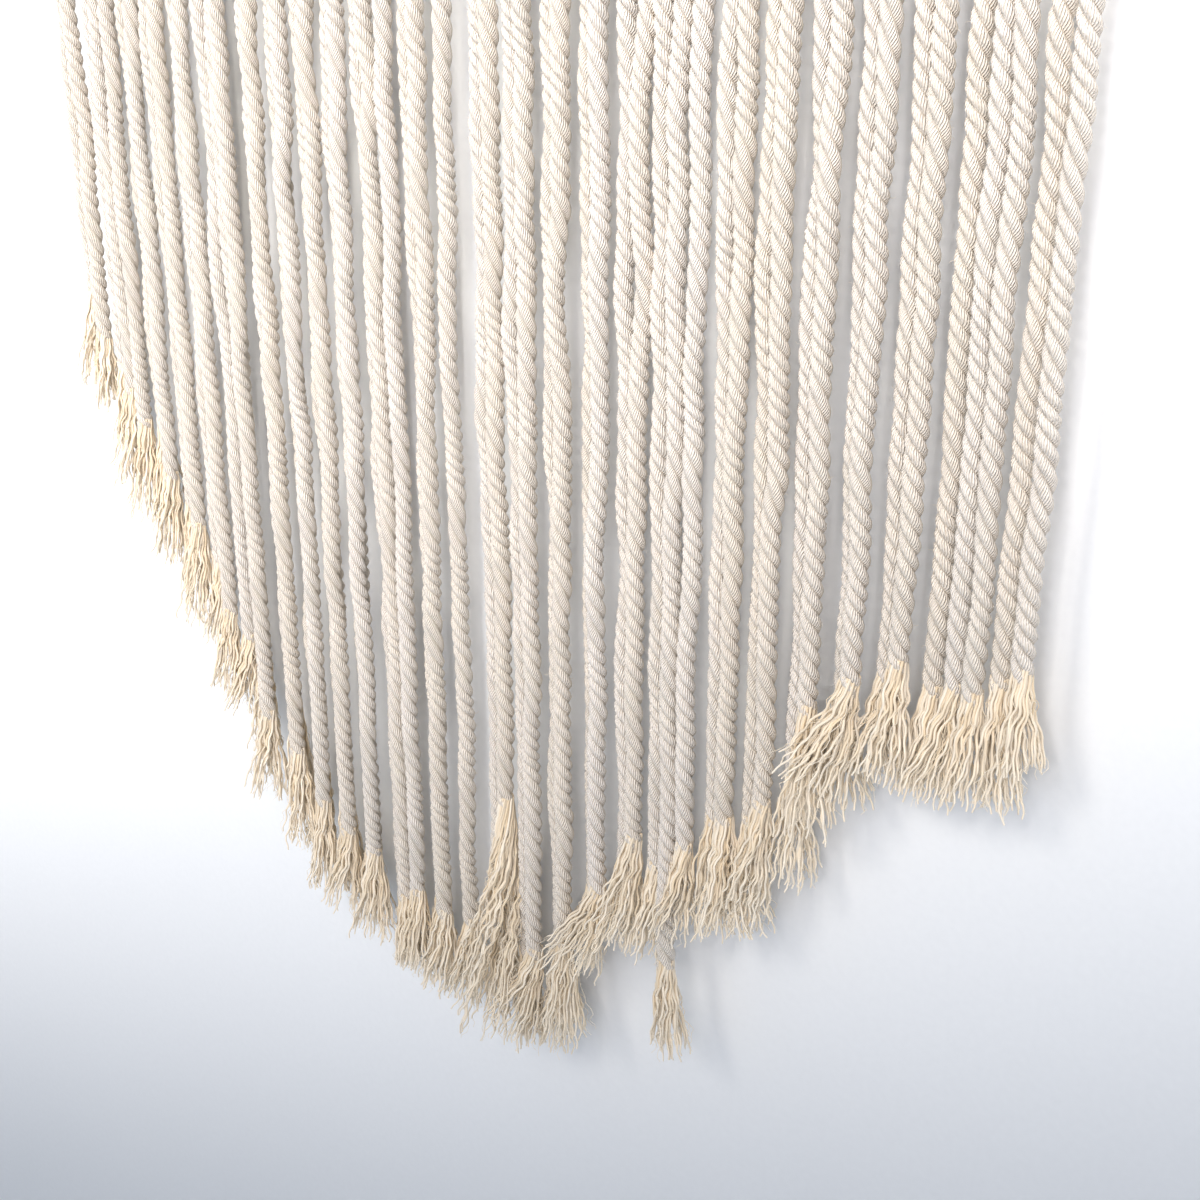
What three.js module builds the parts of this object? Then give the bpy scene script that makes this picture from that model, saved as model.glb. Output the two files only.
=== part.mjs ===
// A rope wall hanging: ropes folded over a dowel, tied in bundles of four
// strands by columns of square knots, with long free ends cut to an uneven V.
// Millimetres, +Z up. The front faces -Y and the wall is on the +Y side.
// The origin is where the hanger rope's underside rests on its nail.
import * as THREE from 'three';

// Driving dimensions.
const ROPE_DIAMETER = 5;
const CLEARANCE = 0.3; // between pieces that touch
const DOWEL_DIAMETER = 15;
const DOWEL_CHAMFER = 1;
const DOWEL_OVERHANG = 36; // dowel end past the outermost strand
const HANGER_RISE = 160; // dowel axis to the nail
const HANGER_INSET = 26; // dowel end to the hanger's first turn
const HANGER_TAIL = 24; // loose end under the dowel
const NAIL_BEND = 12; // radius of the hanger's bend over the nail
const BUNDLES_PER_SIDE = 7;
const STRAND_GAP = 1.9; // air between strands that hang freely
const CENTRE_GAP = 8.1; // extra air between the two halves
const CURTAIN_DROP = 660; // dowel axis to the lowest strand's end
const HEM_RISE = 180; // from the hem's lowest part to its highest
const HEM_SCATTER = 10; // how unevenly the ends are cut
const LONG_STRAND = 39; // one strand left longer than its neighbours
const LONG_STRAND_EXTRA = 32;
const KNOT_HEIGHT = 13; // one square knot
const KNOT_WALL = 2.2; // rope wrapped round a bundle
const KNOT_DROP = 6; // from where a rope's two strands meet to its first knot
const KNOTS_AT_EDGE = 2; // one more on each bundle towards the middle
const FAN_OUT = 45; // below the knots, where strands spread again
const DEPTH_SCATTER = 3.6; // how far strands lie before or behind the middle

const ROPE_SIDES = 8;
const DOWEL_SIDES = 32;
const STRANDS_PER_BUNDLE = 4;
const FREE_STEPS = 4; // steps along a strand's free stretch
const TURN_STEP = 30; // degrees of a turn round the dowel between rings

// The cut of the hem, left to right: share of the half width, share of the rise.
const HEM_CUT = [
  [-1, 1], [-0.87, 0.77], [-0.64, 0.45], [-0.54, 0.24], [-0.36, 0.06], [-0.2, 0],
  [0.19, 0], [0.27, 0.25], [0.47, 0.38], [0.56, 0.47], [0.65, 0.58], [0.68, 0.76],
  [0.93, 0.86], [1, 0.92],
];

const ropeRadius = ROPE_DIAMETER / 2;
const strandPitch = ROPE_DIAMETER + STRAND_GAP;
const knotPitch = ROPE_DIAMETER + CLEARANCE;
const bundlePitch = STRANDS_PER_BUNDLE * strandPitch;
const turnFlat = Math.cos(THREE.MathUtils.degToRad(TURN_STEP / 2));
const wrapRadius = (DOWEL_DIAMETER / 2 + CLEARANCE) / turnFlat + ropeRadius;
const dowelZ = -HANGER_RISE;
const knotsTopZ = dowelZ - 2 * wrapRadius - KNOT_DROP;
const bundleCount = 2 * BUNDLES_PER_SIDE;
const curtainHalf = CENTRE_GAP / 2 + BUNDLES_PER_SIDE * bundlePitch;
const dowelHalf = curtainHalf - STRAND_GAP / 2 + DOWEL_OVERHANG;
const sideWander = (STRAND_GAP - CLEARANCE) / 2 - 0.1;

// A steady scatter between 0 and 1 for strand n; each use has its own salt.
function scatter(n, salt) {
  const wave = Math.sin(n * 12.9898 + salt * 78.233) * 43758.5453;
  return wave - Math.floor(wave);
}

function bundleX(bundle) {
  const side = bundle < BUNDLES_PER_SIDE ? -1 : 1;
  return (bundle - (bundleCount - 1) / 2) * bundlePitch + (side * CENTRE_GAP) / 2;
}

function knotCount(bundle) {
  return KNOTS_AT_EDGE + Math.min(bundle, bundleCount - 1 - bundle);
}

function knotsBottomZ(bundle) {
  return knotsTopZ - knotCount(bundle) * KNOT_HEIGHT;
}

// Height of the hem over its lowest part, straight from each step of the cut to the next.
function hemHeight(x) {
  const share = THREE.MathUtils.clamp(x / curtainHalf, -1, 1);
  const next = Math.max(HEM_CUT.findIndex(([place]) => place >= share), 1);
  const [[fromPlace, from], [toPlace, to]] = HEM_CUT.slice(next - 1, next + 1);
  return HEM_RISE * THREE.MathUtils.mapLinear(share, fromPlace, toPlace, from, to);
}

// Strand ends follow the hem, each cut a little unevenly.
function strandEndZ(x, strand) {
  const extra = strand === LONG_STRAND ? LONG_STRAND_EXTRA : 0;
  return dowelZ - CURTAIN_DROP + hemHeight(x) - extra + HEM_SCATTER * scatter(strand, 1);
}

// Depths in a bundle balance, so that it hangs straight down.
function strandDepth(bundle, place) {
  const outer = 0.25 + 0.75 * scatter(bundle, 2);
  const inner = 0.25 + 0.75 * scatter(bundle, 3);
  const turn = scatter(bundle, 4) < 0.5 ? 1 : -1;
  return turn * DEPTH_SCATTER * [outer, -inner, inner, -outer][place];
}

// Centre line of one strand, from under the dowel to its end.
function strandRoute(bundle, place) {
  const strand = bundle * STRANDS_PER_BUNDLE + place;
  const across = place - (STRANDS_PER_BUNDLE - 1) / 2;
  const knotX = bundleX(bundle) + across * knotPitch;
  const freeX = bundleX(bundle) + across * strandPitch;
  const bottomZ = knotsBottomZ(bundle) - CLEARANCE;
  const endZ = strandEndZ(freeX, strand);
  const fanZ = bottomZ - FAN_OUT;
  const depth = strandDepth(bundle, place);
  const points = [
    new THREE.Vector3((knotX + freeX) / 2, 0, knotsTopZ + KNOT_DROP),
    new THREE.Vector3(knotX, 0, knotsTopZ + CLEARANCE),
    new THREE.Vector3(knotX, 0, bottomZ),
  ];
  for (let step = 0; step <= FREE_STEPS; step++) {
    const along = step / FREE_STEPS;
    const lean = sideWander * (2 * scatter(strand, 5 + step) - 1);
    const z = fanZ + (endZ - fanZ) * along;
    points.push(new THREE.Vector3(freeX + lean, depth * (0.5 + 0.5 * along), z));
  }
  return points;
}

// A rope's two strands and the turn between them over the dowel.
function foldedRopeRoute(bundle, rope) {
  const left = strandRoute(bundle, 2 * rope);
  const right = strandRoute(bundle, 2 * rope + 1);
  const middleX = bundleX(bundle) + (2 * rope - 1) * strandPitch;
  const turn = [];
  for (let degrees = -30; degrees <= 210; degrees += TURN_STEP) {
    const angle = THREE.MathUtils.degToRad(degrees);
    const x = middleX + ((degrees - 90) / 120) * (strandPitch / 2);
    const y = -wrapRadius * Math.cos(angle);
    const z = dowelZ + wrapRadius * Math.sin(angle);
    turn.push(new THREE.Vector3(x, y, z));
  }
  return [...left.reverse(), ...turn, ...right];
}

// One half of the hanger: over the nail, down to the dowel, round it and off.
function hangerHalf(side) {
  const turnX = dowelHalf - HANGER_INSET;
  const points = [new THREE.Vector3(side * NAIL_BEND * 0.6, 0, ropeRadius - NAIL_BEND * 0.2)];
  for (const share of [0.14, 0.5, 0.86]) {
    const z = -share * (HANGER_RISE - wrapRadius);
    points.push(new THREE.Vector3(side * turnX * share, -share * wrapRadius * 0.5, z));
  }
  const turnPitch = ROPE_DIAMETER + 2 * CLEARANCE;
  for (let degrees = 60; degrees >= -390; degrees -= TURN_STEP) {
    const angle = THREE.MathUtils.degToRad(degrees);
    const x = side * (turnX + ((60 - degrees) / 360) * turnPitch);
    const y = -wrapRadius * Math.cos(angle);
    points.push(new THREE.Vector3(x, y, dowelZ + wrapRadius * Math.sin(angle)));
  }
  const last = points[points.length - 1];
  points.push(new THREE.Vector3(last.x + side, last.y + 2, last.z - HANGER_TAIL / 2));
  points.push(new THREE.Vector3(last.x + 2 * side, last.y + 2, last.z - HANGER_TAIL));
  return points;
}

// A plain tube with one ring of vertices at each point of its route.
function ropeGeometry(points) {
  const route = new THREE.CatmullRomCurve3(points, false, 'centripetal');
  route.getUtoTmapping = (share) => share;
  const section = new THREE.Shape();
  for (let side = 0; side < ROPE_SIDES; side++) {
    const angle = (2 * Math.PI * side) / ROPE_SIDES;
    const x = ropeRadius * Math.cos(angle);
    const y = ropeRadius * Math.sin(angle);
    if (side === 0) section.moveTo(x, y);
    else section.lineTo(x, y);
  }
  const steps = points.length - 1;
  return new THREE.ExtrudeGeometry(section, { steps, extrudePath: route, bevelEnabled: false });
}

function dowelGeometry() {
  const radius = DOWEL_DIAMETER / 2;
  const profile = [
    new THREE.Vector2(0, -dowelHalf),
    new THREE.Vector2(radius - DOWEL_CHAMFER, -dowelHalf),
    new THREE.Vector2(radius, -dowelHalf + DOWEL_CHAMFER),
    new THREE.Vector2(radius, dowelHalf - DOWEL_CHAMFER),
    new THREE.Vector2(radius - DOWEL_CHAMFER, dowelHalf),
    new THREE.Vector2(0, dowelHalf),
  ];
  return new THREE.LatheGeometry(profile, DOWEL_SIDES).rotateZ(-Math.PI / 2);
}

// An outline with half-round ends, its straight sides along X.
function roundEnded(width, depth, path) {
  const radius = depth / 2;
  const middle = width / 2 - radius;
  path.absarc(middle, 0, radius, -Math.PI / 2, Math.PI / 2, false);
  path.absarc(-middle, 0, radius, Math.PI / 2, (3 * Math.PI) / 2, false);
  path.closePath();
  return path;
}

// A column of square knots: the rope wrapped round a bundle's four strands.
function squareKnotsGeometry(bundle) {
  const innerWidth = (STRANDS_PER_BUNDLE - 1) * knotPitch + ROPE_DIAMETER + 2 * CLEARANCE;
  const innerDepth = ROPE_DIAMETER + 2 * CLEARANCE;
  const outline = roundEnded(innerWidth + 2 * KNOT_WALL, innerDepth + 2 * KNOT_WALL, new THREE.Shape());
  outline.holes.push(roundEnded(innerWidth, innerDepth, new THREE.Path()));
  const depth = knotCount(bundle) * KNOT_HEIGHT;
  const options = { depth, curveSegments: 6, bevelEnabled: false };
  return new THREE.ExtrudeGeometry(outline, options).translate(0, 0, -depth);
}

const cottonLook = { color: 0xe9dfcc, roughness: 0.95, metalness: 0 };
const woodLook = { color: 0xc8a06c, roughness: 0.6, metalness: 0 };

const hanging = new THREE.Group();

function addPiece(name, geometry, look) {
  const piece = new THREE.Mesh(geometry, new THREE.MeshStandardMaterial(look));
  piece.name = name;
  hanging.add(piece);
  return piece;
}

const dowel = addPiece('dowel', dowelGeometry(), woodLook);
dowel.position.z = dowelZ;

const overNail = [new THREE.Vector3(0, 0, ropeRadius)];
const hangerRoute = [...hangerHalf(-1).reverse(), ...overNail, ...hangerHalf(1)];
addPiece('hanger_rope', ropeGeometry(hangerRoute), cottonLook);

for (let bundle = 0; bundle < bundleCount; bundle++) {
  const bundleName = String(bundle + 1).padStart(2, '0');
  for (let rope = 0; rope < 2; rope++) {
    const side = rope === 0 ? 'left' : 'right';
    const geometry = ropeGeometry(foldedRopeRoute(bundle, rope));
    addPiece(`rope_${bundleName}_${side}`, geometry, cottonLook);
  }
  const knots = addPiece(`square_knots_${bundleName}`, squareKnotsGeometry(bundle), cottonLook);
  knots.position.set(bundleX(bundle), 0, knotsTopZ);
}

export default hanging;
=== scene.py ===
# A rope wall hanging: cotton ropes knotted on a rod, with frayed ends cut to an uneven V.
# Metres, +Z up. The front faces -Y and the wall is on the +Y side.
import math

import bpy
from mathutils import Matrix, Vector


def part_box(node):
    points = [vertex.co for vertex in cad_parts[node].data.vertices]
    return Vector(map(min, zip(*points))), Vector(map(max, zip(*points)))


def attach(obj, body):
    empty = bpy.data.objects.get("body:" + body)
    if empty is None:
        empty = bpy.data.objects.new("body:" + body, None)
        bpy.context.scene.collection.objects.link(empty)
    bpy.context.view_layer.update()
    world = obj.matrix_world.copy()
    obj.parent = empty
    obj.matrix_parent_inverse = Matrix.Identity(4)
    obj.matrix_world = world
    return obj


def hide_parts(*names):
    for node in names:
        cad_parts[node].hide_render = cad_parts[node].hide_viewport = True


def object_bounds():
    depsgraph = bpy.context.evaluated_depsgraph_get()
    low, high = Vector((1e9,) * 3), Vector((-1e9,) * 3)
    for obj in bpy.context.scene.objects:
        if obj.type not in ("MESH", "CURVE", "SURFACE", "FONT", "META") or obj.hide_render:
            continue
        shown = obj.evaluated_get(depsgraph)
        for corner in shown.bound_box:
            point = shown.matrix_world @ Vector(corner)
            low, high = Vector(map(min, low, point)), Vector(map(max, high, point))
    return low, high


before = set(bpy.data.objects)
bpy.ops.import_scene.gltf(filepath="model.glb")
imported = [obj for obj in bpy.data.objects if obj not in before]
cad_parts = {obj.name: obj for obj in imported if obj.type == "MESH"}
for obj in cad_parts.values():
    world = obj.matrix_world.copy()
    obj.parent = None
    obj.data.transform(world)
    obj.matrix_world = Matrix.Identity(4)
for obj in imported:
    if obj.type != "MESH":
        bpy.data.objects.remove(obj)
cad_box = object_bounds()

MM = 0.001

# Sizes shared with the solid model.
ROPE_DIAMETER = 5 * MM
CLEARANCE = 0.3 * MM
DOWEL_DIAMETER = 15 * MM
HANGER_RISE = 160 * MM
HANGER_INSET = 26 * MM
HANGER_TAIL = 24 * MM
DOWEL_OVERHANG = 36 * MM
NAIL_BEND = 12 * MM
BUNDLES_PER_SIDE = 7
STRANDS_PER_BUNDLE = 4
STRAND_GAP = 1.9 * MM
CENTRE_GAP = 8.1 * MM
CURTAIN_DROP = 660 * MM
HEM_RISE = 180 * MM
HEM_SCATTER = 10 * MM
LONG_STRAND = 39
LONG_STRAND_EXTRA = 32 * MM
HEM_CUT = (
    (-1, 1), (-0.87, 0.77), (-0.64, 0.45), (-0.54, 0.24), (-0.36, 0.06), (-0.2, 0),
    (0.19, 0), (0.27, 0.25), (0.47, 0.38), (0.56, 0.47), (0.65, 0.58), (0.68, 0.76),
    (0.93, 0.86), (1, 0.92),
)
KNOT_HEIGHT = 13 * MM
KNOT_DROP = 6 * MM
KNOTS_AT_EDGE = 2
FAN_OUT = 45 * MM
DEPTH_SCATTER = 3.6 * MM
FREE_STEPS = 4
TURN_STEP = 30

ROPE_RADIUS = ROPE_DIAMETER / 2
STRAND_PITCH = ROPE_DIAMETER + STRAND_GAP
BUNDLE_PITCH = STRANDS_PER_BUNDLE * STRAND_PITCH
BUNDLES = 2 * BUNDLES_PER_SIDE
TURN_FLAT = math.cos(math.radians(TURN_STEP / 2))
WRAP_RADIUS = (DOWEL_DIAMETER / 2 + CLEARANCE) / TURN_FLAT + ROPE_RADIUS
DOWEL_Z = -HANGER_RISE
KNOTS_TOP = DOWEL_Z - 2 * WRAP_RADIUS - KNOT_DROP
CURTAIN_HALF = CENTRE_GAP / 2 + BUNDLES_PER_SIDE * BUNDLE_PITCH
DOWEL_HALF = CURTAIN_HALF - STRAND_GAP / 2 + DOWEL_OVERHANG
SIDE_WANDER = (STRAND_GAP - CLEARANCE) / 2 - 0.1 * MM

# Sizes of what only shows here.
ROPE_GIRTH = 5.8 * MM  # across the crests of its strands, so that it looks 5 mm wide from any side
ROPE_LAY = 14.4 * MM  # along the rope for one turn of its three strands
ROPE_SIDES = 18
RINGS_PER_TURN = 10
GROOVE_DEPTH = 0.4  # as a share of the rope's radius
YARNS_ROUND = 25  # yarn lines round a rope
HAIRS = 22000.0  # on a square metre of rope, about one to 3 mm of its length
KNOT_ROPE = 5.1 * MM  # a rope is pulled thinner in a knot
TUFT_LENGTH = 29 * MM
TUFT_ROOT = 6 * MM  # how far up inside the rope its loose yarns start
TUFT_RADIUS = 2.4 * MM
YARN_RADIUS = 0.41 * MM
WISP_RADIUS = 0.11 * MM
YARN_COUNT = 34
YARN_STEP = 1.6 * MM
LONG_FRAY = 29  # the strand that has come undone a long way up
LONG_FRAY_LENGTH = 86 * MM
LONG_FRAY_YARNS = 52
LEFT_FANS = (31, 34, 35, 48)  # ends combed over to the left
GOLDEN_ANGLE = 2.39996  # radians
FLOOR_Z = -1.7
MATH, VECTOR, NOISE = "ShaderNodeMath", "ShaderNodeVectorMath", "ShaderNodeTexNoise"


def scatter(n, salt):
    """The solid model's steady scatter, 0 to 1."""
    wave = math.sin(n * 12.9898 + salt * 78.233) * 43758.5453
    return wave - math.floor(wave)


def bundle_x(bundle):
    side = -1 if bundle < BUNDLES_PER_SIDE else 1
    return (bundle - (BUNDLES - 1) / 2) * BUNDLE_PITCH + side * CENTRE_GAP / 2


def knot_count(bundle):
    return KNOTS_AT_EDGE + min(bundle, BUNDLES - 1 - bundle)


def knots_bottom(bundle):
    return KNOTS_TOP - knot_count(bundle) * KNOT_HEIGHT


def hem_height(x):
    share = min(max(x / CURTAIN_HALF, -1), 1)
    for (from_place, low), (to_place, high) in zip(HEM_CUT, HEM_CUT[1:]):
        if share <= to_place:
            return HEM_RISE * (low + (high - low) * (share - from_place) / (to_place - from_place))


def strand_end(x, strand):
    extra = LONG_STRAND_EXTRA if strand == LONG_STRAND else 0
    return DOWEL_Z - CURTAIN_DROP + hem_height(x) - extra + HEM_SCATTER * scatter(strand, 1)


def strand_depth(bundle, place):
    outer = 0.25 + 0.75 * scatter(bundle, 2)
    inner = 0.25 + 0.75 * scatter(bundle, 3)
    turn = 1 if scatter(bundle, 4) < 0.5 else -1
    return turn * DEPTH_SCATTER * (outer, -inner, inner, -outer)[place]


# The knots. Each bundle has two cores, and two workers that wrap round them.
WORKER_X = 6.3 * MM
CORE_X = 2.2 * MM
WRAP_FRONT = 4.6 * MM  # how far a worker's crossing stands before or behind the cores
WRAP_BACK = 1.8 * MM
WRAP_SIDE = 2.2 * MM
WRAP_LIFT = 0.27


def worker_at(bundle, side, turn):
    """A worker's place after a number of half knots. Side -1 crosses in front."""
    across = abs(math.sin(math.pi * turn))
    x = side * WORKER_X * math.cos(math.pi * turn)
    if side < 0:
        y = -WRAP_FRONT * across + WRAP_BACK * (1 - across)
    else:
        y = WRAP_FRONT * across - WRAP_SIDE * (1 - across)
    fall = KNOT_HEIGHT / 2 * (turn + WRAP_LIFT * math.sin(2 * math.pi * turn))
    return Vector((bundle_x(bundle) + x, y, KNOTS_TOP - fall))


def strand_top(bundle, place):
    """Where a free strand comes out of the last knot."""
    side = -1 if place < 2 else 1
    if place in (0, 3):
        return worker_at(bundle, side, 2 * knot_count(bundle))
    return Vector((bundle_x(bundle) + side * CORE_X, 0, knots_bottom(bundle) + 2 * MM))


def strand_points(bundle, place):
    """The solid strand's route below its knots."""
    strand = bundle * STRANDS_PER_BUNDLE + place
    free_x = bundle_x(bundle) + (place - (STRANDS_PER_BUNDLE - 1) / 2) * STRAND_PITCH
    fan_z = knots_bottom(bundle) - CLEARANCE - FAN_OUT
    end_z = strand_end(free_x, strand)
    depth = strand_depth(bundle, place)
    points = [strand_top(bundle, place)]
    for step in range(FREE_STEPS + 1):
        along = step / FREE_STEPS
        lean = SIDE_WANDER * (2 * scatter(strand, 5 + step) - 1)
        points.append(Vector((free_x + lean, depth * (0.5 + 0.5 * along), fan_z + (end_z - fan_z) * along)))
    return points


def smooth_line(points, step=2 * MM):
    """A line through the points with no corners, and a point about every step."""
    p = [Vector(q) for q in points]
    gaps = [(b - a).length for a, b in zip(p, p[1:])]
    slopes = [(b - a) / g for a, b, g in zip(p, p[1:], gaps)]
    tangents = [slopes[0]]
    for before, after, g, h in zip(slopes, slopes[1:], gaps, gaps[1:]):
        tangents.append((before * h + after * g) / (g + h))
    tangents.append(slopes[-1])
    line = []
    for a, b, u, v, g in zip(p, p[1:], tangents, tangents[1:], gaps):
        count = max(1, round(g / step))
        for k in range(count):
            t = k / count
            line.append(
                a * (2 * t**3 - 3 * t**2 + 1) + b * (3 * t**2 - 2 * t**3)
                + u * g * (t**3 - 2 * t**2 + t) + v * g * (t**3 - t**2)
            )
    line.append(p[-1])
    return line


def line_length(line):
    return sum((b - a).length for a, b in zip(line, line[1:]))


def cut_line(line, length):
    """The line shortened at its far end."""
    left = line_length(line) - length
    kept = [line[0]]
    for a, b in zip(line, line[1:]):
        step = (b - a).length
        if step >= left:
            kept.append(a.lerp(b, left / step))
            break
        kept.append(b)
        left -= step
    return kept


def head_points(x, side):
    """Half of the hitch that holds a rope on the rod, from the front bar round to the leg."""
    r = WRAP_RADIUS - 0.3 * MM
    z = DOWEL_Z
    return [
        (x, -9.6 * MM, z - r - 2.2 * MM),
        (x + side * 3.2 * MM, -8.2 * MM, z - r - 1.8 * MM),
        (x + side * 4.3 * MM, -4.2 * MM, z - r - 0.6 * MM),
        (x + side * 4.3 * MM, 3.4 * MM, z - r + 0.4 * MM),
        (x + side * 4.1 * MM, 0.8 * r, z - 0.6 * r),
        (x + side * 3.7 * MM, r, z),
        (x + side * 3.2 * MM, 0.7 * r, z + 0.7 * r),
        (x + side * 2.9 * MM, 0, z + r),
        (x + side * 2.8 * MM, -0.7 * r, z + 0.7 * r),
        (x + side * 2.7 * MM, -r, z),
        (x + side * 2.6 * MM, -0.84 * r, z - 0.66 * r),
        (x + side * 2.6 * MM, -4.8 * MM, z - r - 3 * MM),
        (x + side * 2.6 * MM, -1.4 * MM, z - r - 9 * MM),
    ]


def knotting_lines(bundle):
    """The two folded ropes of a bundle, each from knots' bottom to knots' bottom."""
    lines = []
    turns = 2 * knot_count(bundle)
    for rope in (0, 1):
        side = 2 * rope - 1
        x = bundle_x(bundle) + side * STRAND_PITCH
        worker = [worker_at(bundle, side, k / 12) for k in range(1, 12 * turns + 1)]
        core_x = bundle_x(bundle) + side * CORE_X
        core = [Vector((core_x, 0, KNOTS_TOP - 2 * MM)), Vector((core_x, 0, knots_bottom(bundle)))]
        outer, inner = head_points(x, side), head_points(x, -side)
        lines.append(smooth_line(core[::-1] + inner[:0:-1] + outer + worker, MM))
    return lines


def hanger_half(side):
    """The hanger from near its nail to its loose end, as in the solid model."""
    turn_x = DOWEL_HALF - HANGER_INSET
    points = [Vector((side * NAIL_BEND * 0.6, 0, ROPE_RADIUS - NAIL_BEND * 0.2))]
    for share in (0.14, 0.5, 0.86):
        points.append(Vector((
            side * turn_x * share, -share * WRAP_RADIUS * 0.5, -share * (HANGER_RISE - WRAP_RADIUS))))
    turn_pitch = ROPE_DIAMETER + 2 * CLEARANCE
    for degrees in range(60, -391, -TURN_STEP):
        angle = math.radians(degrees)
        points.append(Vector((
            side * (turn_x + (60 - degrees) / 360 * turn_pitch),
            -WRAP_RADIUS * math.cos(angle), DOWEL_Z + WRAP_RADIUS * math.sin(angle))))
    last = points[-1]
    points.append(last + Vector((side * MM, 2 * MM, -HANGER_TAIL / 2)))
    points.append(last + Vector((2 * side * MM, 2 * MM, -HANGER_TAIL)))
    return points


# ---- nodes ----
def add(tree, kind, feeds=None, **settings):
    """Adds a node with its settings.
    A feed is a plain value, a socket, or a node whose first live output is meant."""
    node = tree.nodes.new(kind)
    for name, value in settings.items():
        setattr(node, name, value)
    for key, value in (feeds or {}).items():
        if isinstance(value, bpy.types.Node):
            value = next(s for s in value.outputs if s.enabled)
        if isinstance(value, bpy.types.NodeSocket):
            tree.links.new(value, node.inputs[key])
        else:
            node.inputs[key].default_value = value
    return node


def hex_colour(code):
    """An sRGB hex value as the linear colour that a shader takes."""
    parts = [int(code[k:k + 2], 16) / 255 for k in (1, 3, 5)]
    return (*[c / 12.92 if c <= 0.04045 else ((c + 0.055) / 1.055) ** 2.4 for c in parts], 1)


def start_tree(name, sizes):
    """A geometry tree with a named input for each size, and its input sockets."""
    tree = bpy.data.node_groups.new(name, "GeometryNodeTree")
    for size, kind in {"Geometry": "Geometry", **sizes}.items():
        tree.interface.new_socket(size, in_out="INPUT", socket_type="NodeSocket" + kind)
    tree.interface.new_socket("Geometry", in_out="OUTPUT", socket_type="NodeSocketGeometry")
    return tree, tree.nodes.new("NodeGroupInput").outputs


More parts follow.
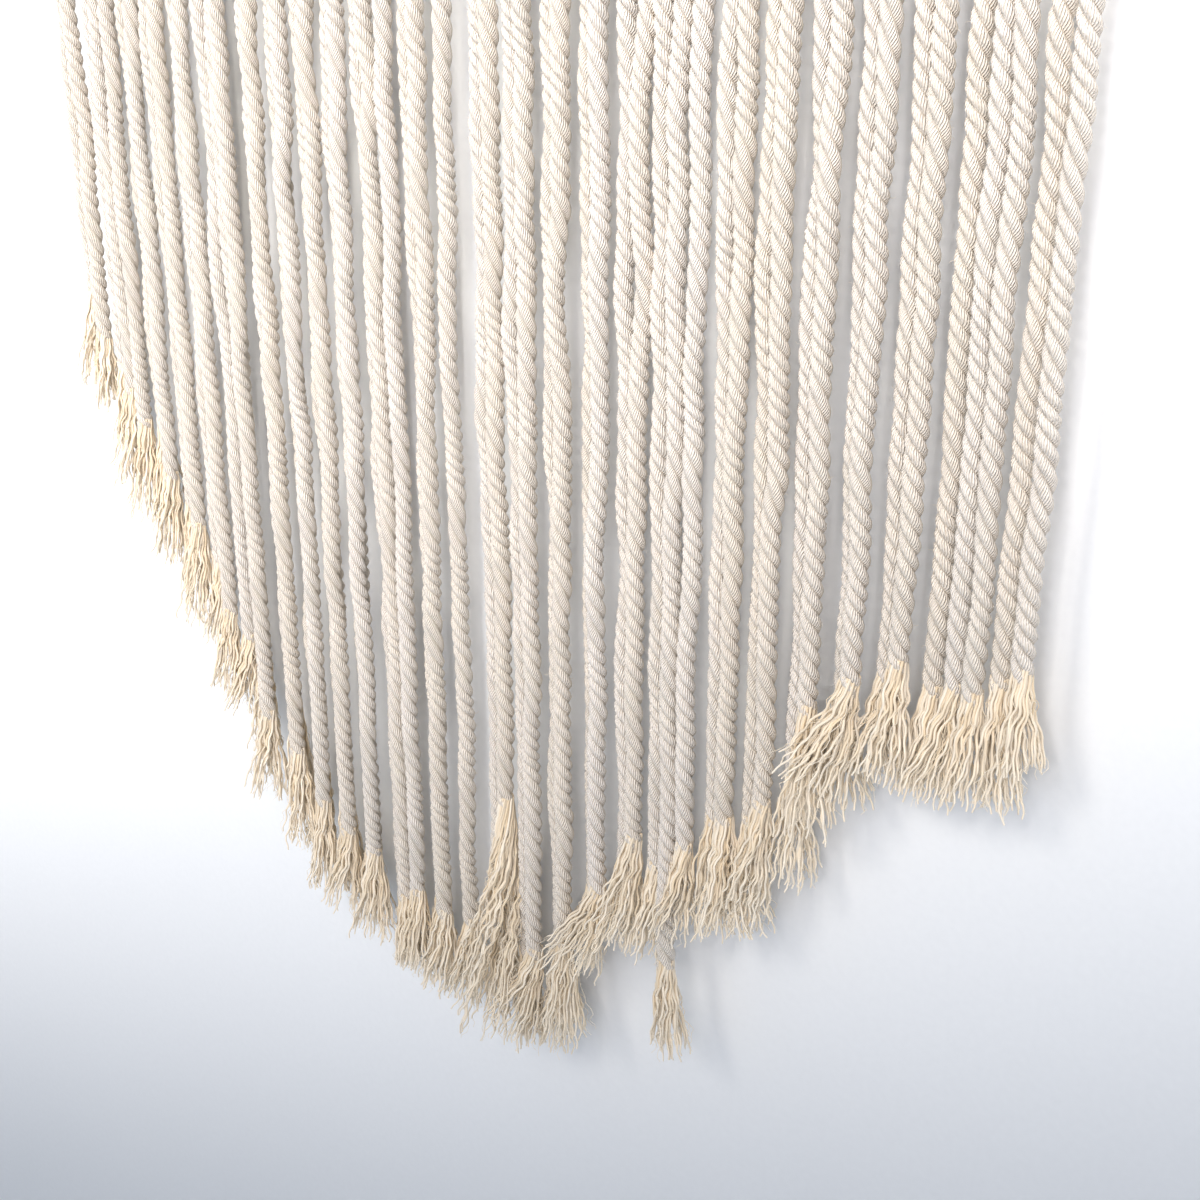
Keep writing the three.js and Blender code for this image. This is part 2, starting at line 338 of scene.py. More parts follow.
def rope_tree():
    """Three strands twisted together along a line, with loose hairs standing off them."""
    t, given = start_tree("twisted_rope", {
        "Diameter": "Float", "Lay": "Float", "Ring Step": "Float", "Loose End": "Float", "Wander": "Float",
        "Tint": "Float", "Hairs per Area": "Float", "Seed": "Int", "Cotton": "Material"})
    line = add(t, "GeometryNodeMeshToCurve", {"Mesh": given["Geometry"]})
    line = add(t, "GeometryNodeResampleCurve", {"Curve": line, "Length": given["Ring Step"]}, mode="LENGTH")
    place = add(t, "GeometryNodeSplineParameter")
    along = place.outputs["Length"]
    turns = add(t, MATH, {0: along, 1: given["Lay"]}, operation="DIVIDE")
    shift = add(t, MATH, {0: turns, 1: 0.35, 2: given["Seed"]}, operation="MULTIPLY_ADD")
    slack = add(t, NOISE, {"W": shift, "Scale": 1.0, "Detail": 1.0}, noise_dimensions="1D")
    turned = add(t, MATH, {0: slack, 1: 0.9, 2: turns}, operation="MULTIPLY_ADD")
    turned = add(t, MATH, {0: given["Seed"], 1: 0.37, 2: turned}, operation="MULTIPLY_ADD")
    tilt = add(t, MATH, {0: turned, 1: -math.tau}, operation="MULTIPLY")
    line = add(t, "GeometryNodeSetCurveTilt", {"Curve": line, "Tilt": tilt})
    # A hanging rope is never quite straight, but its two ends stay where they are held.
    step = add(t, MATH, {0: along, 1: 42 * MM}, operation="DIVIDE")
    step = add(t, MATH, {0: given["Seed"], 1: 3.7, 2: step}, operation="MULTIPLY_ADD")
    sway = add(t, NOISE, {"W": step, "Scale": 1.0, "Detail": 1.5}, noise_dimensions="1D")
    sway = add(t, VECTOR, {0: sway.outputs["Color"], 1: (-0.5, -0.5, -0.5)}, operation="ADD")
    ends = add(t, MATH, {0: place.outputs["Factor"], 1: math.pi}, operation="MULTIPLY")
    ends = add(t, MATH, {0: ends}, operation="SINE")
    ends = add(t, MATH, {0: ends, 1: 0.4}, operation="POWER")
    ends = add(t, MATH, {0: ends, 1: given["Wander"]}, operation="MULTIPLY")
    sway = add(t, VECTOR, {0: sway, "Scale": ends}, operation="SCALE")
    line = add(t, "GeometryNodeSetPosition", {"Geometry": line, "Offset": sway})
    whole = add(t, "GeometryNodeSplineLength")
    left = add(t, MATH, {0: whole.outputs["Length"], 1: along}, operation="SUBTRACT")
    opened = add(t, "ShaderNodeMapRange", {
        "Value": left, "From Min": -0.1 * MM, "From Max": given["Loose End"], "To Min": -0.4, "To Max": 0.0},
        interpolation_type="SMOOTHSTEP")
    swell = add(t, MATH, {0: slack, 1: 0.16, 2: 0.92}, operation="MULTIPLY_ADD")
    girth = add(t, MATH, {0: swell, 1: opened}, operation="ADD")
    radius = add(t, MATH, {0: given["Diameter"], 1: 0.5}, operation="MULTIPLY")
    girth = add(t, MATH, {0: girth, 1: radius}, operation="MULTIPLY")
    line = add(t, "GeometryNodeStoreNamedAttribute", {
        "Geometry": line, "Name": "along", "Value": along}, data_type="FLOAT", domain="POINT")
    ring = add(t, "GeometryNodeCurvePrimitiveCircle", {"Resolution": ROPE_SIDES, "Radius": 1.0})
    index = add(t, "GeometryNodeInputIndex")
    in_strand = add(t, MATH, {0: index, 1: ROPE_SIDES / 3}, operation="MODULO")
    off_crest = add(t, MATH, {0: in_strand, 1: ROPE_SIDES / 6}, operation="SUBTRACT")
    squared = add(t, MATH, {0: off_crest, 1: off_crest}, operation="MULTIPLY")
    slope = -GROOVE_DEPTH / (ROPE_SIDES / 6) ** 2
    factor = add(t, MATH, {0: squared, 1: slope, 2: 1.0}, operation="MULTIPLY_ADD")
    spot = add(t, "GeometryNodeInputPosition")
    lobed = add(t, VECTOR, {0: spot, "Scale": factor}, operation="SCALE")
    ring = add(t, "GeometryNodeSetPosition", {"Geometry": ring, "Position": lobed})
    ring = add(t, "GeometryNodeStoreNamedAttribute", {
        "Geometry": ring, "Name": "round", "Value": spot}, data_type="FLOAT_VECTOR", domain="POINT")
    skin = add(t, "GeometryNodeCurveToMesh", {
        "Curve": line, "Profile Curve": ring, "Scale": girth, "Fill Caps": True})
    dots = add(t, "GeometryNodeDistributePointsOnFaces", {
        "Mesh": skin, "Density": given["Hairs per Area"], "Seed": given["Seed"]})
    bend = add(t, "GeometryNodeCurveQuadraticBezier", {
        "Resolution": 3, "Start": (0, 0, -0.1), "Middle": (0, 0, 0.6), "End": (0.75, 0, 0.7)})
    bore = add(t, "GeometryNodeCurvePrimitiveCircle", {"Resolution": 3, "Radius": 0.035})
    hair = add(t, "GeometryNodeCurveToMesh", {"Curve": bend, "Profile Curve": bore, "Fill Caps": True})
    spin = add(t, "FunctionNodeRandomValue", {
        0: (-0.9, -0.9, 0), 1: (0.9, 0.9, math.tau), "Seed": given["Seed"]}, data_type="FLOAT_VECTOR")
    lean = add(t, "FunctionNodeEulerToRotation", {0: spin})
    stand = add(t, "FunctionNodeRotateRotation", {
        0: dots.outputs["Rotation"], 1: lean}, rotation_space="LOCAL")
    size = add(t, "FunctionNodeRandomValue", {
        2: 0.5 * MM, 3: 1.5 * MM, "Seed": given["Seed"]}, data_type="FLOAT")
    hairs = add(t, "GeometryNodeInstanceOnPoints", {
        "Points": dots, "Instance": hair, "Rotation": stand, "Scale": size})
    both = add(t, "GeometryNodeJoinGeometry")
    t.links.new(hairs.outputs[0], both.inputs[0])
    t.links.new(skin.outputs[0], both.inputs[0])
    plain = add(t, "GeometryNodeRealizeInstances", {0: both})
    plain = add(t, "GeometryNodeStoreNamedAttribute", {
        "Geometry": plain, "Name": "tint", "Value": given["Tint"]}, data_type="FLOAT", domain="POINT")
    plain = add(t, "GeometryNodeSetShadeSmooth", {0: plain})
    plain = add(t, "GeometryNodeSetMaterial", {"Geometry": plain, "Material": given["Cotton"]})
    add(t, "NodeGroupOutput", {0: plain})
    return t


def tuft_tree():
    """A rope's end come apart into its crimped yarns, spread and combed to one side."""
    t, given = start_tree("frayed_end", {
        "Root": "Vector", "Length": "Float", "Root Radius": "Float", "Spread": "Float",
        "Lean": "Vector", "Lay": "Float", "Yarns": "Int", "Yarn Radius": "Float", "Crimp": "Float",
        "Crimp Length": "Float", "Steps": "Int", "Seed": "Int", "Cotton": "Material"})
    one = add(t, "GeometryNodeCurvePrimitiveLine", {"Start": (0, 0, 0), "End": (0, 0, -1)})
    one = add(t, "GeometryNodeResampleCurve", {"Curve": one, "Count": given["Steps"]}, mode="COUNT")
    many = add(t, "GeometryNodeDuplicateElements", {
        "Geometry": one, "Amount": given["Yarns"]}, domain="SPLINE")
    number = many.outputs["Duplicate Index"]
    along = add(t, "GeometryNodeSplineParameter").outputs["Factor"]
    draws = []
    for salt in range(5):
        seed = add(t, MATH, {0: given["Seed"], 1: 7.0, 2: float(salt)}, operation="MULTIPLY_ADD")
        draws.append(add(t, "FunctionNodeRandomValue", {
            0: (-1, -1, -1), 1: (1, 1, 1), "ID": number, "Seed": seed}, data_type="FLOAT_VECTOR"))
    own_split = add(t, "ShaderNodeSeparateXYZ", {0: draws[0]})
    # Roots fill the rope's round end evenly.
    share = add(t, MATH, {0: number, 1: 0.5}, operation="ADD")
    share = add(t, MATH, {0: share, 1: given["Yarns"]}, operation="DIVIDE")
    out = add(t, MATH, {0: share, 1: 0.5}, operation="POWER")
    round_it = add(t, MATH, {0: number, 1: GOLDEN_ANGLE}, operation="MULTIPLY")
    cos = add(t, MATH, {0: round_it}, operation="COSINE")
    sin = add(t, MATH, {0: round_it}, operation="SINE")
    ray = add(t, "ShaderNodeCombineXYZ", {0: cos, 1: sin, 2: 0.0})
    ray = add(t, VECTOR, {0: ray, "Scale": out}, operation="SCALE")
    # The yarns of one of the rope's three strands keep together.
    strand = add(t, MATH, {0: round_it, 1: math.tau / 3}, operation="DIVIDE")
    strand = add(t, MATH, {0: strand, 1: 3.0}, operation="MODULO")
    strand = add(t, MATH, {0: strand}, operation="FLOOR")
    strand = add(t, MATH, {0: strand, 1: math.tau / 3, 2: math.pi / 3}, operation="MULTIPLY_ADD")
    cos = add(t, MATH, {0: strand}, operation="COSINE")
    sin = add(t, MATH, {0: strand}, operation="SINE")
    lobe = add(t, "ShaderNodeCombineXYZ", {0: cos, 1: sin, 2: 0.0})
    # They start with the rope's twist and come out of it.
    still = add(t, MATH, {0: 1.0, 1: along}, operation="SUBTRACT")
    still = add(t, MATH, {0: still, 1: 2.0}, operation="POWER")
    wound = add(t, MATH, {0: given["Length"], 1: given["Lay"]}, operation="DIVIDE")
    wound = add(t, MATH, {0: wound, 1: 0.08 * math.tau}, operation="MULTIPLY")
    wound = add(t, MATH, {0: wound, 1: still}, operation="MULTIPLY")
    wound = add(t, MATH, {0: wound, 1: given["Seed"]}, operation="ADD")
    ray = add(t, "ShaderNodeVectorRotate", {"Vector": ray, "Angle": wound}, rotation_type="Z_AXIS")
    lobe = add(t, "ShaderNodeVectorRotate", {"Vector": lobe, "Angle": wound}, rotation_type="Z_AXIS")
    root = add(t, VECTOR, {0: ray, "Scale": given["Root Radius"]}, operation="SCALE")
    # Yarns part as they fall, each its own way.
    fall = add(t, MATH, {0: along, 1: 1.35}, operation="POWER")
    own_way = add(t, VECTOR, {0: lobe, 1: (0.45, 0.45, 0.0), 2: ray}, operation="MULTIPLY_ADD")
    own_way = add(t, VECTOR, {0: draws[1], 1: (0.4, 0.4, 0.0), 2: own_way}, operation="MULTIPLY_ADD")
    part = add(t, VECTOR, {0: own_way, "Scale": given["Spread"]}, operation="SCALE")
    part = add(t, VECTOR, {0: part, 1: given["Lean"]}, operation="ADD")
    long = add(t, MATH, {0: own_split.outputs[0], 1: 0.08, 2: 0.94}, operation="MULTIPLY_ADD")
    long = add(t, MATH, {0: long, 1: given["Length"]}, operation="MULTIPLY")
    fall = add(t, MATH, {0: fall, 1: long}, operation="MULTIPLY")
    part = add(t, VECTOR, {0: part, "Scale": fall}, operation="SCALE")
    # A yarn keeps the wave that it had in the rope.
    ease = add(t, "ShaderNodeMapRange", {"Value": along, "From Min": 0.02, "From Max": 0.3})
    pace = add(t, MATH, {0: own_split.outputs[1], 1: 0.12, 2: 1.0}, operation="MULTIPLY_ADD")
    cycle = add(t, MATH, {0: long, 1: along}, operation="MULTIPLY")
    cycle = add(t, MATH, {0: cycle, 1: given["Crimp Length"]}, operation="DIVIDE")
    cycle = add(t, MATH, {0: cycle, 1: pace}, operation="MULTIPLY")
    cycle = add(t, MATH, {0: cycle, 1: math.tau}, operation="MULTIPLY")
    phases = add(t, "ShaderNodeSeparateXYZ", {0: draws[2]})
    waves = []
    for axis, speed in ((0, 1.0), (1, 0.83), (2, 0.41)):
        turn = add(t, MATH, {0: phases.outputs[axis], 1: 0.9, 2: strand}, operation="MULTIPLY_ADD")
        turn = add(t, MATH, {0: cycle, 1: speed, 2: turn}, operation="MULTIPLY_ADD")
        waves.append(add(t, MATH, {0: turn}, operation="SINE"))
    slow = add(t, MATH, {0: waves[2], 1: 1.2, 2: waves[0]}, operation="MULTIPLY_ADD")
    wave = add(t, "ShaderNodeCombineXYZ", {0: slow, 1: waves[1], 2: 0.0})
    much = add(t, MATH, {0: ease, 1: given["Crimp"]}, operation="MULTIPLY")
    wave = add(t, VECTOR, {0: wave, "Scale": much}, operation="SCALE")
    # The parts together, with yarns that lean out ending higher.
    down = add(t, MATH, {0: long, 1: along}, operation="MULTIPLY")
    aside = add(t, VECTOR, {0: part}, operation="LENGTH")
    aside = add(t, MATH, {0: aside.outputs["Value"], 1: 0.35}, operation="MULTIPLY")
    drop = add(t, MATH, {0: aside, 1: down}, operation="SUBTRACT")
    drop = add(t, "ShaderNodeCombineXYZ", {0: 0.0, 1: 0.0, 2: drop})
    spot = add(t, VECTOR, {0: root, 1: part}, operation="ADD")
    spot = add(t, VECTOR, {0: spot, 1: wave}, operation="ADD")
    spot = add(t, VECTOR, {0: spot, 1: drop}, operation="ADD")
    spot = add(t, VECTOR, {0: spot, 1: given["Root"]}, operation="ADD")
    yarns = add(t, "GeometryNodeSetPosition", {"Geometry": many, "Position": spot})
    shade = add(t, "ShaderNodeSeparateXYZ", {0: draws[3]})
    yarns = add(t, "GeometryNodeStoreNamedAttribute", {
        "Geometry": yarns, "Name": "shade", "Value": shade}, data_type="FLOAT", domain="POINT")
    yarns = add(t, "GeometryNodeStoreNamedAttribute", {
        "Geometry": yarns, "Name": "along", "Value": along}, data_type="FLOAT", domain="POINT")
    thin = add(t, MATH, {0: along, 1: 3.0}, operation="POWER")
    thin = add(t, MATH, {0: thin, 1: -0.4, 2: 1.0}, operation="MULTIPLY_ADD")
    thin = add(t, MATH, {0: thin, 1: given["Yarn Radius"]}, operation="MULTIPLY")
    bore = add(t, "GeometryNodeCurvePrimitiveCircle", {"Resolution": 5, "Radius": 1.0})
    skin = add(t, "GeometryNodeCurveToMesh", {
        "Curve": yarns, "Profile Curve": bore, "Scale": thin, "Fill Caps": True})
    both = add(t, "GeometryNodeJoinGeometry")
    t.links.new(skin.outputs[0], both.inputs[0])
    t.links.new(given["Geometry"], both.inputs[0])
    plain = add(t, "GeometryNodeRealizeInstances", {0: both})
    plain = add(t, "GeometryNodeSetShadeSmooth", {0: plain})
    plain = add(t, "GeometryNodeSetMaterial", {"Geometry": plain, "Material": given["Cotton"]})
    add(t, "NodeGroupOutput", {0: plain})
    return t


# ---- materials ----
def new_material(name):
    material = bpy.data.materials.new(name)
    material.use_nodes = True
    tree = material.node_tree
    return material, tree, tree.nodes["Principled BSDF"]


def twisted_cotton():
    """Undyed cotton, spun into yarns and laid up in three soft strands. It is matt and creamy,
    fine yarn lines run along it, the grooves between its strands are painted darker as shade, and it has a
    faint bloom."""
    material, t, face = new_material("undyed_cotton_laid_rope")
    round_it = add(t, "ShaderNodeAttribute", attribute_name="round")
    along = add(t, "ShaderNodeAttribute", attribute_name="along").outputs["Fac"]
    tint = add(t, "ShaderNodeAttribute", attribute_name="tint").outputs["Fac"]
    xyz = add(t, "ShaderNodeSeparateXYZ", {0: round_it.outputs["Vector"]})
    angle = add(t, MATH, {0: xyz.outputs[1], 1: xyz.outputs[0]}, operation="ARCTAN2")
    depth = add(t, VECTOR, {0: round_it.outputs["Vector"]}, operation="LENGTH")
    place = add(t, "ShaderNodeTexCoord").outputs["Object"]
    # Fibres of 0.3 to 0.5 mm, drawn out along the rope.
    drawn = add(t, "ShaderNodeMapping", {"Vector": place, "Scale": (2600.0, 2600.0, 700.0)})
    fibres = add(t, NOISE, {"Vector": drawn, "Scale": 1.0, "Detail": 3.0, "Roughness": 0.6})
    drift = add(t, NOISE, {"Vector": place, "Scale": 120.0, "Detail": 1.0})
    # The yarns, 0.63 mm wide on a 5 mm rope, lie nearly straight along it.
    lay = add(t, MATH, {0: along, 1: -math.tau * 1.12 / ROPE_LAY}, operation="MULTIPLY")
    phase = add(t, MATH, {0: angle, 1: lay}, operation="ADD")
    phase = add(t, MATH, {0: phase, 1: float(YARNS_ROUND)}, operation="MULTIPLY")
    phase = add(t, MATH, {0: drift, 1: 9.0, 2: phase}, operation="MULTIPLY_ADD")
    yarn = add(t, MATH, {0: phase}, operation="SINE")
    yarn = add(t, MATH, {0: yarn, 1: 0.5, 2: 0.5}, operation="MULTIPLY_ADD")
    height = add(t, MATH, {0: fibres, 1: 1.1, 2: yarn}, operation="MULTIPLY_ADD")
    bump = add(t, "ShaderNodeBump", {"Height": height, "Distance": 0.38 * MM, "Strength": 1.0})
    t.links.new(bump.outputs[0], face.inputs["Normal"])
    pale = add(t, "ShaderNodeMix", {
        "Factor": tint, 6: hex_colour("#FBF2E7"), 7: hex_colour("#F7EBDA")}, data_type="RGBA")
    line = add(t, "ShaderNodeMapRange", {
        "Value": yarn, "From Min": 0.0, "From Max": 0.55, "To Min": 0.9, "To Max": 0.0})
    thread = add(t, "ShaderNodeMapRange", {
        "Value": fibres, "From Min": 0.3, "From Max": 0.6, "To Min": 1.0, "To Max": 0.35})
    line = add(t, MATH, {0: line, 1: thread}, operation="MULTIPLY")
    worn = add(t, "ShaderNodeMix", {
        "Factor": line, 6: pale.outputs[2], 7: hex_colour("#D3C0A2")}, data_type="RGBA")
    # Painted shade: the grooves between the strands are painted darker and browner, where shade falls.
    painted_groove_shade = add(t, "ShaderNodeMapRange", {
        "Value": depth.outputs["Value"], "From Min": 0.6, "From Max": 0.76, "To Min": 0.4, "To Max": 0.0})
    groove_shaded = add(t, "ShaderNodeMix", {
        "Factor": painted_groove_shade, 6: worn.outputs[2], 7: hex_colour("#C6AE8C")}, data_type="RGBA")
    mottle = add(t, NOISE, {"Vector": place, "Scale": 45.0, "Detail": 3.0})
    patch = add(t, "ShaderNodeMapRange", {
        "Value": mottle, "From Min": 0.45, "From Max": 0.75, "To Min": 0.0, "To Max": 0.35})
    colour = add(t, "ShaderNodeMix", {
        "Factor": patch, 6: groove_shaded.outputs[2], 7: hex_colour("#EFE5D0")}, data_type="RGBA")
    t.links.new(colour.outputs[2], face.inputs["Base Color"])
    face.inputs["Roughness"].default_value = 0.86
    face.inputs["IOR"].default_value = 1.53
    face.inputs["Specular IOR Level"].default_value = 0.25
    face.inputs["Sheen Weight"].default_value = 0.25
    face.inputs["Sheen Roughness"].default_value = 0.5
    return material


def loose_cotton():
    """Loose cotton yarns: soft and matt, each a little lighter or darker than the next, and paler
    towards the tips, where the fibres open."""
    material, t, face = new_material("undyed_cotton_loose_yarn")
    shade = add(t, "ShaderNodeAttribute", attribute_name="shade").outputs["Fac"]
    along = add(t, "ShaderNodeAttribute", attribute_name="along").outputs["Fac"]
    place = add(t, "ShaderNodeTexCoord").outputs["Object"]
    fibres = add(t, NOISE, {"Vector": place, "Scale": 1600.0, "Detail": 3.0})
    own = add(t, "ShaderNodeMapRange", {"Value": shade, "From Min": -1.0, "From Max": 1.0})
    pale = add(t, "ShaderNodeMix", {
        "Factor": own, 6: hex_colour("#E6D1AF"), 7: hex_colour("#F3E6D0")}, data_type="RGBA")
    tips = add(t, "ShaderNodeMapRange", {
        "Value": along, "From Min": 0.4, "From Max": 1.0, "To Min": 0.0, "To Max": 0.6})
    colour = add(t, "ShaderNodeMix", {
        "Factor": tips, 6: pale.outputs[2], 7: hex_colour("#F3E8D4")}, data_type="RGBA")
    t.links.new(colour.outputs[2], face.inputs["Base Color"])
    bump = add(t, "ShaderNodeBump", {"Height": fibres, "Distance": 0.1 * MM, "Strength": 0.6})
    t.links.new(bump.outputs[0], face.inputs["Normal"])
    face.inputs["Roughness"].default_value = 0.9
    face.inputs["IOR"].default_value = 1.53
    face.inputs["Specular IOR Level"].default_value = 0.2
    face.inputs["Sheen Weight"].default_value = 0.3
    face.inputs["Sheen Roughness"].default_value = 0.5
    return material


def turned_beech():
    """Steamed beech, turned and sanded: a warm pale wood with short dark flecks along the grain."""
    material, t, face = new_material("sanded_beech_rod")
    place = add(t, "ShaderNodeTexCoord").outputs["Object"]
    # Rings of 2 to 3 mm, seen as long streaks down the rod and as arcs on its ends.
    stretch = add(t, "ShaderNodeMapping", {"Vector": place, "Scale": (3.0, 60.0, 60.0)})
    wander = add(t, NOISE, {"Vector": stretch, "Scale": 1.0, "Detail": 2.0})
    heart = add(t, "ShaderNodeMapping", {"Vector": place, "Location": (0.0, 0.021, 0.185)})
    parts = add(t, "ShaderNodeSeparateXYZ", {0: heart})
    flat = add(t, "ShaderNodeCombineXYZ", {0: 0.0, 1: parts.outputs[1], 2: parts.outputs[2]})
    far = add(t, VECTOR, {0: flat}, operation="LENGTH").outputs["Value"]
    ring = add(t, MATH, {0: far, 1: math.tau / (2.4 * MM)}, operation="MULTIPLY")
    ring = add(t, MATH, {0: wander, 1: 14.0, 2: ring}, operation="MULTIPLY_ADD")
    ring = add(t, MATH, {0: ring}, operation="SINE")
    ring = add(t, "ShaderNodeMapRange", {"Value": ring, "From Min": -1.0, "From Max": 1.0})
    wood = add(t, "ShaderNodeMix", {
        "Factor": ring, 6: hex_colour("#D9B98C"), 7: hex_colour("#C49D6C")}, data_type="RGBA")
    flecks = add(t, "ShaderNodeMapping", {"Vector": place, "Scale": (260.0, 1500.0, 1500.0)})
    fleck = add(t, NOISE, {"Vector": flecks, "Scale": 1.0, "Detail": 2.0})
    dark = add(t, "ShaderNodeMapRange", {
        "Value": fleck, "From Min": 0.6, "From Max": 0.72, "To Min": 0.0, "To Max": 0.5})
    colour = add(t, "ShaderNodeMix", {
        "Factor": dark, 6: wood.outputs[2], 7: hex_colour("#8F6A42")}, data_type="RGBA")
    t.links.new(colour.outputs[2], face.inputs["Base Color"])
    bump = add(t, "ShaderNodeBump", {"Height": fleck, "Distance": 0.08 * MM, "Strength": 0.4})
    t.links.new(bump.outputs[0], face.inputs["Normal"])
    face.inputs["Roughness"].default_value = 0.52
    face.inputs["IOR"].default_value = 1.52
    return material


def painted_wall():
    """Matt white emulsion, rolled on: a pale wall with a soft stipple and a painted shade that greys it
    upward. Its back is open.
    """
    material, t, face = new_material("rolled_white_wall_paint")
    place = add(t, "ShaderNodeTexCoord").outputs["Object"]
    stipple = add(t, NOISE, {"Vector": place, "Scale": 420.0, "Detail": 3.0})
    bump = add(t, "ShaderNodeBump", {"Height": stipple, "Distance": 0.12 * MM, "Strength": 0.35})
    t.links.new(bump.outputs[0], face.inputs["Normal"])
    tone = add(t, "ShaderNodeMix", {
        "Factor": stipple, 6: hex_colour("#F1F1EF"), 7: hex_colour("#ECECEA")}, data_type="RGBA")
    # Painted shade: the wall is painted greyer slowly upward from the middle of the strands, in place of less
    # light there, so that the pale cords above stand out.
    height = add(t, "ShaderNodeSeparateXYZ", {0: place}).outputs[2]
    shade_rise = add(t, "ShaderNodeMapRange", {
        "Value": height, "From Min": -0.44, "From Max": -0.08, "To Min": 0.0, "To Max": 1.0},
        interpolation_type="SMOOTHSTEP")
    painted_shade_above = add(t, "ShaderNodeMix", {
        "Factor": shade_rise, 6: tone.outputs[2], 7: hex_colour("#B4B6B9")}, data_type="RGBA")
    t.links.new(painted_shade_above.outputs[2], face.inputs["Base Color"])
    face.inputs["Roughness"].default_value = 0.9
    back = add(t, "ShaderNodeNewGeometry").outputs["Backfacing"]
    clear = add(t, "ShaderNodeBsdfTransparent")
    shown = add(t, "ShaderNodeMixShader", {0: back, 1: face, 2: clear})
    t.links.new(shown.outputs[0], t.nodes["Material Output"].inputs["Surface"])
    return material


# ---- making pieces ----
def link_mesh(name, mesh):
    made = bpy.data.objects.new(name, mesh)
    bpy.context.scene.collection.objects.link(made)
    return made


def edge_mesh(name, lines):
    """A mesh of edges that follows the lines, for a tree to sweep along."""
    points, edges = [], []
    for line in lines:
        edges += [(len(points) + k, len(points) + k + 1) for k in range(len(line) - 1)]
        points += line
    mesh = bpy.data.meshes.new(name)
    mesh.from_pydata(points, edges, [])
    return mesh


growing = []


def run_tree(made, name, tree, sizes):
    """A modifier on the object that runs the tree with these sizes."""
    modifier = made.modifiers.new(name, "NODES")
    modifier.node_group = tree
    sockets = {s.name: s.identifier for s in tree.interface.items_tree if s.in_out == "INPUT"}
    for size, value in sizes.items():
        modifier[sockets[size]] = value


def grow(name, mesh, tree, sizes):
    """An object with a geometry tree on it, made plain later with all the others."""
    made = link_mesh(name, mesh)
    run_tree(made, "shape", tree, sizes)
    growing.append(made)
    return made


def make_plain():
    """Turns every grown object into a plain mesh and takes its modifier off."""
    graph = bpy.context.evaluated_depsgraph_get()
    meshes = [bpy.data.meshes.new_from_object(o.evaluated_get(graph), depsgraph=graph) for o in growing]
    for made, mesh in zip(growing, meshes):
        made.modifiers.clear()
        mesh.name = made.name
        made.data = mesh


ROPE_TREE, TUFT_TREE = rope_tree(), tuft_tree()
LAID_COTTON, LOOSE_COTTON = twisted_cotton(), loose_cotton()


def grow_rope(name, lines, diameter, seed, loose_end=0.0, wander=0.0, hairs=HAIRS):
    return grow(name, edge_mesh(name, lines), ROPE_TREE, {
        "Diameter": diameter, "Lay": ROPE_LAY, "Ring Step": ROPE_LAY / RINGS_PER_TURN,
        "Loose End": loose_end, "Wander": wander, "Tint": scatter(seed, 21), "Hairs per Area": hairs,
        "Seed": seed, "Cotton": LAID_COTTON})


def grow_tuft(name, root, length, spread, lean, seed, yarns=YARN_COUNT):
    """Yarns, and among them thinner wisps that fly further out."""
    yarn = {
        "Root": root, "Length": length, "Root Radius": TUFT_RADIUS, "Spread": spread, "Lean": lean,
        "Lay": ROPE_LAY, "Yarns": yarns, "Yarn Radius": YARN_RADIUS, "Crimp": 0.4 * MM,
        "Crimp Length": 7.5 * MM, "Steps": max(18, round(length / YARN_STEP)), "Seed": seed,
        "Cotton": LOOSE_COTTON}
    wisp = {
        **yarn, "Length": length * 0.98, "Spread": spread * 1.15, "Yarns": yarns // 2,
        "Yarn Radius": WISP_RADIUS, "Crimp": 0.6 * MM, "Crimp Length": 5 * MM, "Seed": seed + 500}
    made = grow(name, bpy.data.meshes.new(name), TUFT_TREE, yarn)
    run_tree(made, "wisps", TUFT_TREE, wisp)
    return made


# The free strands come first.
strands = []
for bundle in range(BUNDLES):
    for place in range(STRANDS_PER_BUNDLE):
        number = bundle * STRANDS_PER_BUNDLE + place
        fray, yarns = TUFT_LENGTH * (0.82 + 0.36 * scatter(number, 11)), YARN_COUNT
        spread = 0.07 + 0.075 * scatter(number, 12)
        lean = Vector((0.26 * (scatter(number, 13) - 0.5), -0.08 * scatter(number, 14), 0))
        if number == LONG_FRAY:
            fray, yarns = LONG_FRAY_LENGTH, LONG_FRAY_YARNS
            spread, lean = 0.105, Vector((-0.05, -0.03, 0))
        if number in LEFT_FANS:
            spread, lean = 0.16, Vector((-0.24, -0.08, 0))
        whole = smooth_line(strand_points(bundle, place))
        line = cut_line(whole, fray)
        label = f"{bundle + 1:02d}_{place + 1}"
        cord = grow_rope(f"strand_{label}", [line], ROPE_GIRTH, number + 1, loose_end=5 * MM, wander=3.6 * MM)
        root = line[-1] + Vector((0, 0, TUFT_ROOT))
        tuft = grow_tuft(f"frayed_end_{label}", root, fray + TUFT_ROOT, spread, lean, number + 1, yarns)
        strands.append((bundle, place, cord, tuft, line))

knottings = [
    grow_rope(f"knotting_{bundle + 1:02d}", knotting_lines(bundle), KNOT_ROPE, 100 + bundle, hairs=HAIRS / 3)
    for bundle in range(BUNDLES)
]
left_half, right_half = hanger_half(-1), hanger_half(1)
hanger_line = smooth_line(left_half[::-1] + [Vector((0, 0, ROPE_RADIUS))] + right_half)
hanger = grow_rope("hanger_cord", [hanger_line], ROPE_GIRTH, 200, loose_end=5 * MM)
tails = []
for side, half, seed in (("left", left_half, 201), ("right", right_half, 202)):
    root = half[-1] + Vector((0, 0, TUFT_ROOT))
    tails.append(grow_tuft(f"hanger_tail_{side}", root, 18 * MM, 0.2, Vector((0, 0, 0)), seed, yarns=24))
make_plain()


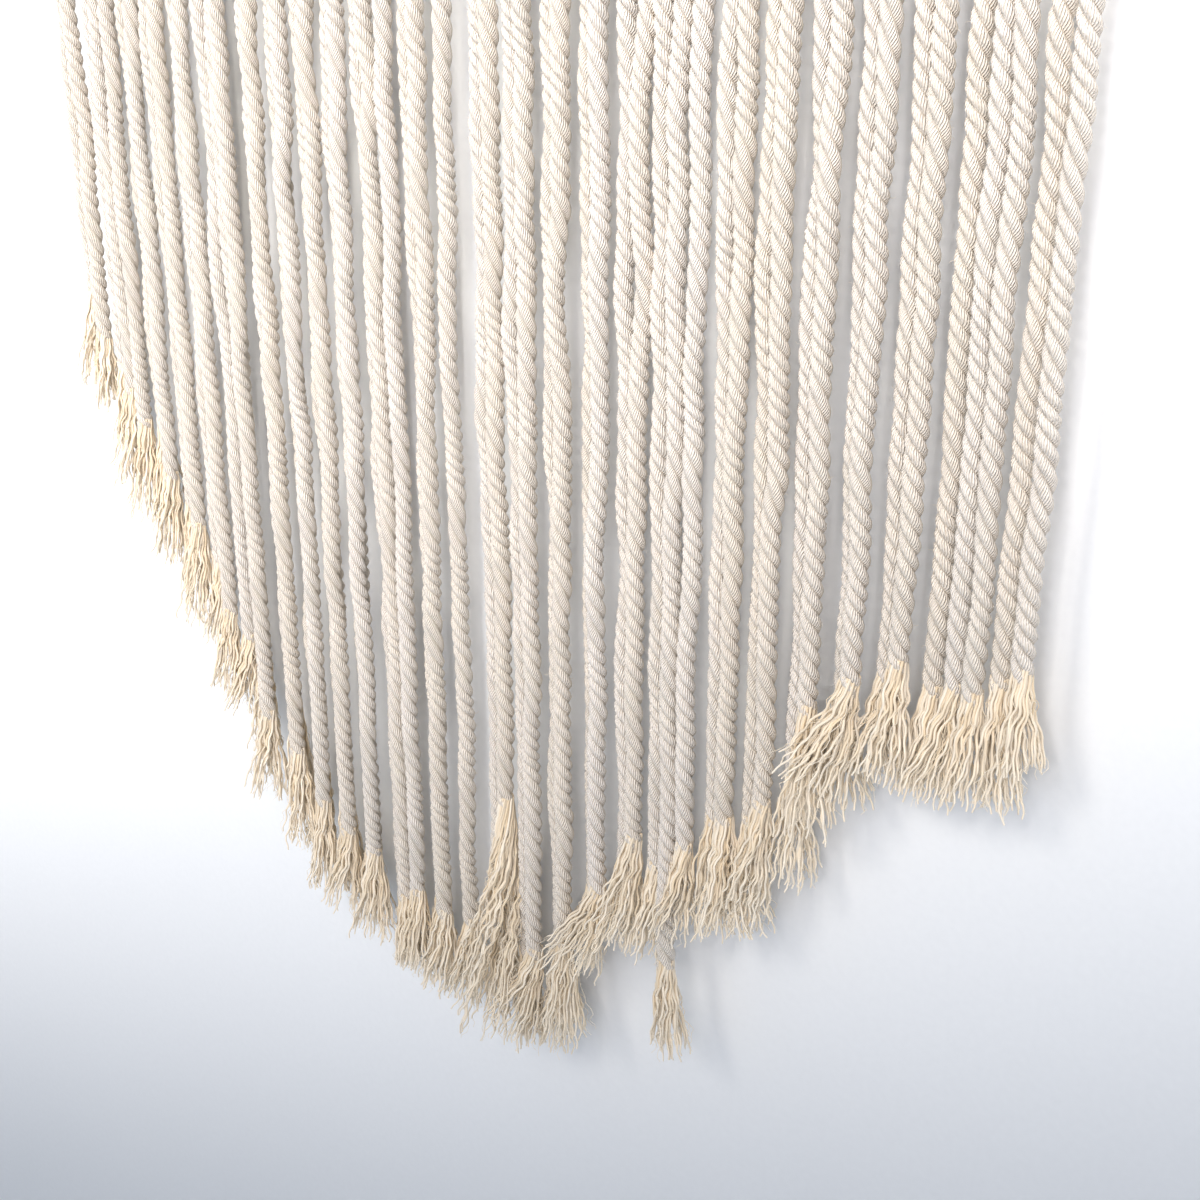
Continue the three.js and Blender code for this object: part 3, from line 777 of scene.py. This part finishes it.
def turned_rod():
    """The rod, turned in fine steps, a little uneven along its length, with eased ends."""
    low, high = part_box("dowel")
    centre_y, centre_z = (low.y + high.y) / 2, (low.z + high.z) / 2
    radius, chamfer, around, rings = (high.z - low.z) / 2, 1.2 * MM, 64, 60
    eased = [(0, radius - chamfer), (0.35 * chamfer, radius - 0.3 * chamfer), (chamfer, radius)]
    profile = [(low.x + inward, r) for inward, r in eased]
    for k in range(1, rings):
        x = low.x + (high.x - low.x) * k / rings
        profile.append((x, radius - 0.12 * MM * scatter(k, 31)))
    profile += [(high.x - inward, r) for inward, r in eased[::-1]]
    points, faces = [], []
    for x, r in profile:
        for k in range(around):
            a = math.tau * k / around
            points.append((x, centre_y + r * math.cos(a), centre_z + r * math.sin(a)))
    for ring in range(len(profile) - 1):
        for k in range(around):
            a, b = ring * around + k, ring * around + (k + 1) % around
            faces.append((a, b, b + around, a + around))
    last = (len(profile) - 1) * around
    faces.append(tuple(range(around))[::-1])
    faces.append(tuple(range(last, last + around)))
    mesh = bpy.data.meshes.new("rod")
    mesh.from_pydata(points, [], faces)
    mesh.polygons.foreach_set("use_smooth", [len(p.vertices) == 4 for p in mesh.polygons])
    mesh.materials.append(turned_beech())
    return link_mesh("rod", mesh)


rod = turned_rod()
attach(rod, "dowel")
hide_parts("dowel")
for piece in (hanger, *tails):
    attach(piece, "dowel")
    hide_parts("hanger_rope")

for bundle, knotting in enumerate(knottings):
    name = f"{bundle + 1:02d}"
    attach(knotting, f"bundle_{name}")
    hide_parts(f"square_knots_{name}", f"rope_{name}_left", f"rope_{name}_right")

for bundle, place, cord, tuft, line in strands:
    name = f"{bundle + 1:02d}"
    for piece in (cord, tuft):
        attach(piece, f"bundle_{name}")
        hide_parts(f"rope_{name}_{'left' if place < 2 else 'right'}")

# ---- the stage ----
wall_y = cad_box[1].y + 1.5 * MM


def board(name, corners, material):
    mesh = bpy.data.meshes.new(name)
    mesh.from_pydata(corners, [], [(0, 1, 2, 3)])
    mesh.materials.append(material)
    made = link_mesh(name, mesh)


paint = painted_wall()
board("wall", [(-3, wall_y, FLOOR_Z), (3, wall_y, FLOOR_Z), (3, wall_y, 2), (-3, wall_y, 2)], paint)
board("floor", [(-3, -4, FLOOR_Z), (3, -4, FLOOR_Z), (3, 3, FLOOR_Z), (-3, 3, FLOOR_Z)], paint)


# The lamps' light stops on the wall at this point, at the hem, along a line that slopes up to the right.
LIGHT_STOP = Vector((0.065, wall_y, -0.814))
LIGHT_EDGE = Vector((-0.87, 0, -0.49))
HALF_CONE = math.radians(48)
EDGE_BLEND = 0.078
LAMP_RADIUS = 0.18


def lamp_bank(name, centre, spread, power, colour, count=7):
    """A ring of soft lamps and one in its middle, which together make one broad light."""
    for number in range(count):
        turn = math.tau * number / (count - 1)
        reach = spread if number < count - 1 else 0
        place = Vector(centre) + Vector((math.cos(turn), 0, math.sin(turn))) * reach
        to_stop = (LIGHT_STOP - place).normalized()
        inward = to_stop.cross(LIGHT_EDGE).normalized()
        lamp = bpy.data.lights.new(f"{name}_{number}", "SPOT")
        lamp.energy, lamp.shadow_soft_size, lamp.color = power / count, LAMP_RADIUS, hex_colour(colour)[:3]
        lamp.spot_size, lamp.spot_blend = 2 * HALF_CONE, EDGE_BLEND
        made = bpy.data.objects.new(lamp.name, lamp)
        made.location = place
        facing = to_stop * math.cos(HALF_CONE) + inward * math.sin(HALF_CONE)
        made.rotation_euler = facing.to_track_quat("-Z", "Y").to_euler()
        bpy.context.scene.collection.objects.link(made)


lamp_bank("key", (-0.76, -3.24, 2.27), 0.5, 545, "#FFFAF3")
lamp_bank("fill", (1.8, -2.7, 1.64), 0.95, 765, "#FDFBFF")

world = bpy.data.worlds.new("room")
bpy.context.scene.world = world
world.use_nodes = True
world.node_tree.nodes["Background"].inputs["Color"].default_value = hex_colour("#E3EDFF")
world.node_tree.nodes["Background"].inputs["Strength"].default_value = 0.62

lens = bpy.data.cameras.new("camera")
lens.lens, lens.sensor_width = 61.2, 36
camera = bpy.data.objects.new("camera", lens)
camera.location = (0.4186, -0.377, -0.402)
azimuth, elevation = math.radians(44), math.radians(25)
looking = Vector((
    -math.sin(azimuth) * math.cos(elevation), math.cos(azimuth) * math.cos(elevation),
    -math.sin(elevation)))
camera.rotation_euler = looking.to_track_quat("-Z", "Y").to_euler()
bpy.context.scene.collection.objects.link(camera)
bpy.context.scene.camera = camera
bpy.context.scene.view_settings.view_transform = "Standard"
